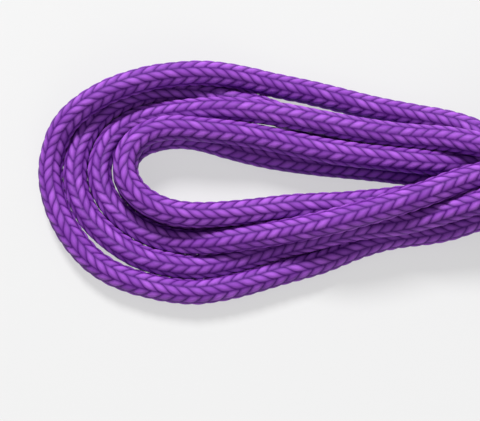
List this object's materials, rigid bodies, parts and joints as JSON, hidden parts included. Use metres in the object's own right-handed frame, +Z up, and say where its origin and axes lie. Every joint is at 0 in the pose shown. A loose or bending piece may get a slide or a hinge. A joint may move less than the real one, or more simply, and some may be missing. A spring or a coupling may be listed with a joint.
{
  "type": "rhythmic gymnastics rope",
  "caption": "Braided rhythmic gymnastics rope folded into a flat hank, held at its waist by a hook and loop tie, with a knot, whipping and sealed tip on each end.",
  "frame": {"origin": "centre of the hank's box, on the surface that it lies on", "axes": "+X along the hank from its long loops to its knotted ends, +Y across it, +Z up"},
  "size_m": [0.3, 0.0872, 0.0313],
  "materials": {
    "rope_cover": "braided glossy synthetic fibre",
    "tie_webbing": "woven loop-pile tape",
    "tie_hooks": "moulded hook tape",
    "whipping_thread": "waxed thread",
    "melted_fibre": "fibre melted smooth"
  },
  "bodies": {
    "hank": {"long_loops": "rope_cover", "waist_runs": "rope_cover", "short_loops": "rope_cover", "tail_a": "rope_cover", "knot_a": "rope_cover", "end_stub_a": "rope_cover", "tail_b": "rope_cover", "knot_b": "rope_cover", "end_stub_b": "rope_cover", "whipping_a": "whipping_thread", "whipping_b": "whipping_thread", "sealed_tip_a": "melted_fibre", "sealed_tip_b": "melted_fibre", "tie_band": "tie_webbing"},
    "pull_tab": {"tie_pull_tab": "tie_webbing", "tie_hook_patch": "tie_hooks"}
  },
  "joints": [
    {"name": "tab_peel", "type": "hinge", "parent": "hank", "child": "pull_tab", "pos_m": [0.023, 0.0107, 0.03129], "axis": [-1, 0, 0], "range_deg": [0, 110]}
  ]
}
